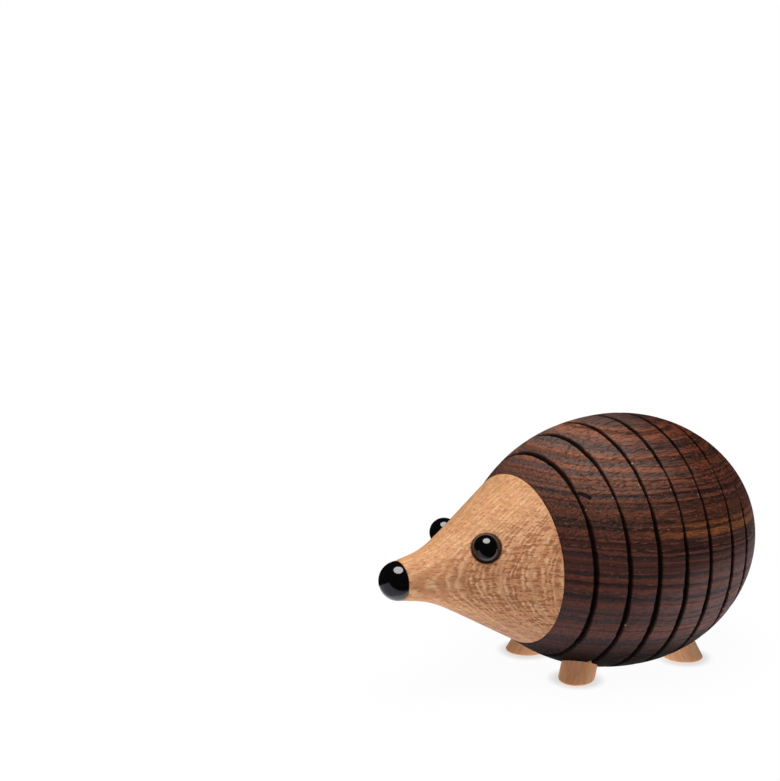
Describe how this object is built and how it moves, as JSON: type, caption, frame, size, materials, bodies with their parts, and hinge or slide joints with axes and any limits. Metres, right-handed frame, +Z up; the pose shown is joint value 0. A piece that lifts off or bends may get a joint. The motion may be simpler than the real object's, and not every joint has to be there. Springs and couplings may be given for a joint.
{
  "type": "hedgehog figurine",
  "caption": "Turned wooden hedgehog ornament with a grooved dark shell, a pale pointed head, bead eyes and nose, and short splayed dowel legs.",
  "frame": {"origin": "on the floor under the middle of the figurine: the bottom centre of its bounding box, with the feet on Z = 0", "axes": "+Z up, nose towards -Y along the turning axis, the animal's left side towards +X"},
  "size_m": [0.07, 0.1186, 0.0685],
  "materials": {
    "dark_wood": "dark open-grained wood, oiled, satin",
    "light_wood": "pale oak, oiled, satin",
    "black_gloss": "polished black"
  },
  "bodies": {
    "root": {"body_shell": "dark_wood", "head": "light_wood", "nose": "black_gloss", "eye_left": "black_gloss", "eye_right": "black_gloss", "leg_front_left": "light_wood", "leg_front_right": "light_wood", "leg_rear_left": "light_wood", "leg_rear_right": "light_wood"}
  },
  "joints": []
}
